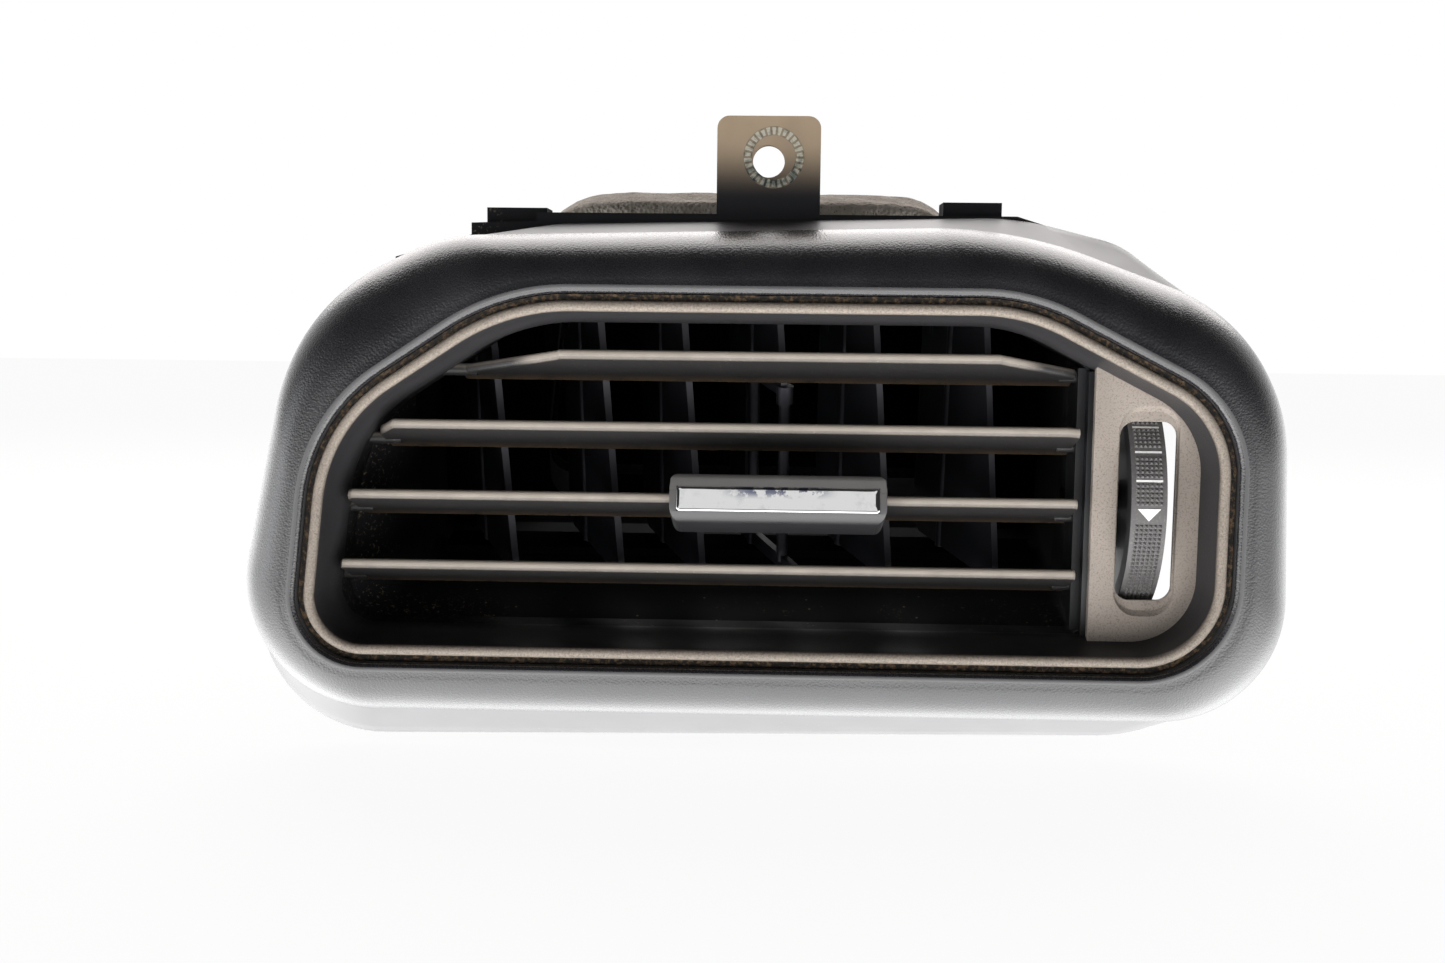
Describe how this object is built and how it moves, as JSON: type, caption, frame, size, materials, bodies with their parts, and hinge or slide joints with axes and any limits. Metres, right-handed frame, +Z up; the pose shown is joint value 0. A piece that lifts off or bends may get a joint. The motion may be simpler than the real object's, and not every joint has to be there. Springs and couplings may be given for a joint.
{
  "type": "dashboard air vent",
  "caption": "Dashboard air vent with a rounded grained bezel, tilting level vanes, a sliding knob that turns the upright vanes behind them, and a thumbwheel that moves a damper door.",
  "frame": {"origin": "middle of the bezel's seat on the dashboard: the plane of the skirt's back edge, on the level and upright centre lines of the air opening's design", "axes": "+X to the passenger's right, +Y into the dashboard along the line of sight, +Z up"},
  "size_m": [0.2195, 0.1246, 0.1354],
  "materials": {
    "bezel_plastic": "fine grain on the face, satin skirt",
    "frame_plastic": "matte, brown grey",
    "black_plastic": "satin, dusty",
    "foam": "open foam",
    "chrome": "bright plated"
  },
  "bodies": {
    "base": {"bezel": "bezel_plastic", "face_frame": "frame_plastic", "vane_housing": "black_plastic", "rear_duct": "black_plastic", "foam_seal": "foam", "pivot_strip": "black_plastic", "rear_rail_top": "black_plastic", "rear_rail_bottom": "black_plastic", "wheel_axle": "black_plastic"},
    "top_vane": {"vane_top": "black_plastic"},
    "upper_vane": {"vane_upper": "black_plastic"},
    "knob_vane": {"vane_knob": "black_plastic"},
    "bottom_vane": {"vane_bottom": "black_plastic"},
    "vane_bar": {"vane_link": "black_plastic"},
    "slider": {"knob_upper": "black_plastic", "knob_lower": "black_plastic", "knob_chrome": "chrome", "knob_fork": "black_plastic"},
    "upright_1": {"rear_vane_1": "black_plastic"},
    "upright_2": {"rear_vane_2": "black_plastic"},
    "upright_3": {"rear_vane_3": "black_plastic"},
    "upright_4": {"rear_vane_4": "black_plastic"},
    "upright_5": {"rear_vane_5": "black_plastic"},
    "upright_6": {"rear_vane_6": "black_plastic"},
    "upright_bar": {"rear_vane_link": "black_plastic"},
    "wheel": {"thumbwheel": "black_plastic"},
    "door": {"damper_door": "black_plastic", "damper_seal": "foam"},
    "damper_rod": {"damper_link": "black_plastic"}
  },
  "joints": [
    {"name": "vane_tilt", "type": "hinge", "parent": "base", "child": "knob_vane", "pos_m": [0, -0.0087, -0.0077], "axis": [-1, 0, 0], "range_deg": [-35, 6]},
    {"name": "top_vane_tilt", "type": "hinge", "parent": "base", "child": "top_vane", "pos_m": [0, -0.0087, 0.0215], "axis": [-1, 0, 0], "range_deg": [-35, 6]},
    {"name": "upper_vane_tilt", "type": "hinge", "parent": "base", "child": "upper_vane", "pos_m": [0, -0.0087, 0.0069], "axis": [-1, 0, 0], "range_deg": [-35, 6]},
    {"name": "bottom_vane_tilt", "type": "hinge", "parent": "base", "child": "bottom_vane", "pos_m": [0, -0.0087, -0.0223], "axis": [-1, 0, 0], "range_deg": [-35, 6]},
    {"name": "vane_bar_pivot", "type": "hinge", "parent": "knob_vane", "child": "vane_bar", "pos_m": [0.0689, -0.0031, -0.00985], "axis": [-1, 0, 0], "range_deg": [-6, 35]},
    {"name": "knob_slide", "type": "slide", "parent": "knob_vane", "child": "slider", "axis": [1, 0, 0], "range_m": [-0.0133, 0.0026]},
    {"name": "upright_1_turn", "type": "hinge", "parent": "base", "child": "upright_1", "pos_m": [-0.0655, 0.01719, 0.00926], "axis": [0, -0.2588, 0.9659], "range_deg": [-50, 10]},
    {"name": "upright_2_turn", "type": "hinge", "parent": "base", "child": "upright_2", "pos_m": [-0.042, 0.01719, 0.00926], "axis": [0, -0.2588, 0.9659], "range_deg": [-50, 10]},
    {"name": "upright_3_turn", "type": "hinge", "parent": "base", "child": "upright_3", "pos_m": [-0.024, 0.01719, 0.00926], "axis": [0, -0.2588, 0.9659], "range_deg": [-50, 10]},
    {"name": "upright_4_turn", "type": "hinge", "parent": "base", "child": "upright_4", "pos_m": [-0.0035, 0.01719, 0.00926], "axis": [0, -0.2588, 0.9659], "range_deg": [-50, 10]},
    {"name": "upright_5_turn", "type": "hinge", "parent": "base", "child": "upright_5", "pos_m": [0.017, 0.01719, 0.00926], "axis": [0, -0.2588, 0.9659], "range_deg": [-50, 10]},
    {"name": "upright_6_turn", "type": "hinge", "parent": "base", "child": "upright_6", "pos_m": [0.0405, 0.01719, 0.00926], "axis": [0, -0.2588, 0.9659], "range_deg": [-50, 10]},
    {"name": "upright_bar_pivot", "type": "hinge", "parent": "upright_4", "child": "upright_bar", "pos_m": [-0.00688, 0.01751, 0.03606], "axis": [0, -0.2588, 0.9659], "range_deg": [-10, 50]},
    {"name": "wheel_turn", "type": "hinge", "parent": "base", "child": "wheel", "pos_m": [0.0771, 0.0055, -0.005], "axis": [1, 0, 0], "range_deg": [-38, 38]},
    {"name": "door_turn", "type": "hinge", "parent": "base", "child": "door", "pos_m": [-0.0055, 0.05808, 0.01893], "axis": [1, 0, 0], "range_deg": [-38, 38]},
    {"name": "damper_rod_pivot", "type": "hinge", "parent": "wheel", "child": "damper_rod", "pos_m": [0.0753, 0.00783, -0.01369], "axis": [1, 0, 0], "range_deg": [-38, 38]}
  ],
  "couplings": [
    {"joint": "top_vane_tilt", "follows": "vane_tilt", "ratio": 1},
    {"joint": "upper_vane_tilt", "follows": "vane_tilt", "ratio": 1},
    {"joint": "bottom_vane_tilt", "follows": "vane_tilt", "ratio": 1},
    {"joint": "vane_bar_pivot", "follows": "vane_tilt", "ratio": -1},
    {"joint": "upright_1_turn", "follows": "knob_slide", "rad_per_m": 65.45},
    {"joint": "upright_2_turn", "follows": "knob_slide", "rad_per_m": 65.45},
    {"joint": "upright_3_turn", "follows": "knob_slide", "rad_per_m": 65.45},
    {"joint": "upright_4_turn", "follows": "knob_slide", "rad_per_m": 65.45},
    {"joint": "upright_5_turn", "follows": "knob_slide", "rad_per_m": 65.45},
    {"joint": "upright_6_turn", "follows": "knob_slide", "rad_per_m": 65.45},
    {"joint": "upright_bar_pivot", "follows": "knob_slide", "rad_per_m": -65.45},
    {"joint": "door_turn", "follows": "wheel_turn", "ratio": 1},
    {"joint": "damper_rod_pivot", "follows": "wheel_turn", "ratio": -1}
  ]
}
